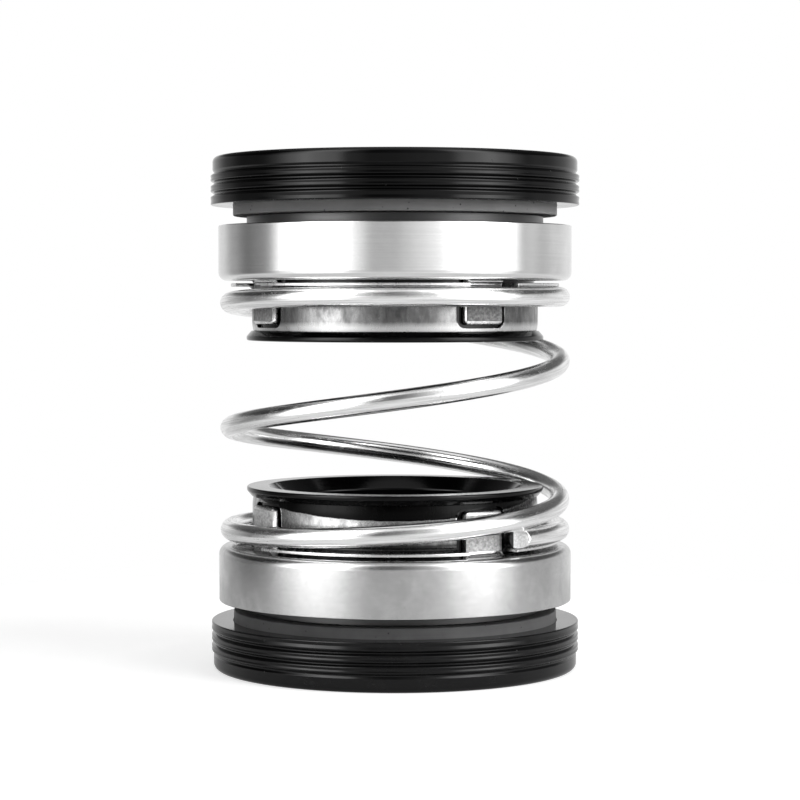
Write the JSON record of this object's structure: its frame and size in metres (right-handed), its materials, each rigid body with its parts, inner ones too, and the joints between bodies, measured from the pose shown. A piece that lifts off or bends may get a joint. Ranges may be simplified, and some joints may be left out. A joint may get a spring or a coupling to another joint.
{
  "type": "component mechanical seal",
  "caption": "Upright double mechanical seal: rubber-cupped seat rings at both ends, steel bellows heads with drive fingers, and one coil spring between them.",
  "frame": {"origin": "centre of the lower cup's outer end, on the shaft axis", "axes": "+Z along the shaft axis, from the lower seat to the upper one; -Y is the front in the picture"},
  "size_m": [0.0404, 0.0404, 0.056],
  "materials": {
    "cup_rubber": "moulded nitrile rubber, semi-gloss",
    "bellows_rubber": "moulded nitrile rubber, semi-gloss",
    "seat_face": "ground silicon carbide",
    "running_face": "lapped carbon graphite",
    "shell_steel": "pressed stainless steel, satin",
    "band_steel": "pressed stainless steel, bright",
    "spring_wire": "drawn stainless wire, bright"
  },
  "bodies": {
    "lower_seat": {"lower_seat_cup": "cup_rubber", "lower_seat_ring": "seat_face"},
    "lower_rotor": {"lower_face_ring": "running_face", "lower_shell": "shell_steel"},
    "lower_drive": {"lower_bellows": "bellows_rubber", "lower_drive_band": "band_steel", "spring": "spring_wire"},
    "upper_drive": {"upper_drive_band": "band_steel", "upper_bellows": "bellows_rubber"},
    "upper_rotor": {"upper_shell": "shell_steel", "upper_face_ring": "running_face"},
    "upper_seat": {"upper_seat_ring": "seat_face", "upper_seat_cup": "cup_rubber"}
  },
  "joints": [
    {"name": "lower_spin", "type": "hinge", "parent": "lower_seat", "child": "lower_rotor", "pos_m": [0, 0, 0.00645], "axis": [0, 0, 1], "continuous": true},
    {"name": "lower_float", "type": "slide", "parent": "lower_rotor", "child": "lower_drive", "axis": [0, 0, 1], "range_m": [-0.00028, 0.0008], "stiffness_N_per_m": 1500, "deforming": ["lower_bellows"]},
    {"name": "spring_compress", "type": "slide", "parent": "lower_drive", "child": "upper_drive", "axis": [0, 0, 1], "range_m": [-0.0155, 0], "stiffness_N_per_m": 2000, "deforming": ["spring"]},
    {"name": "upper_float", "type": "slide", "parent": "upper_drive", "child": "upper_rotor", "axis": [0, 0, 1], "range_m": [-0.00028, 0.0008], "stiffness_N_per_m": 1500, "deforming": ["upper_bellows"]},
    {"name": "upper_spin", "type": "hinge", "parent": "upper_rotor", "child": "upper_seat", "pos_m": [0, 0, 0.04956], "axis": [0, 0, 1], "continuous": true}
  ]
}
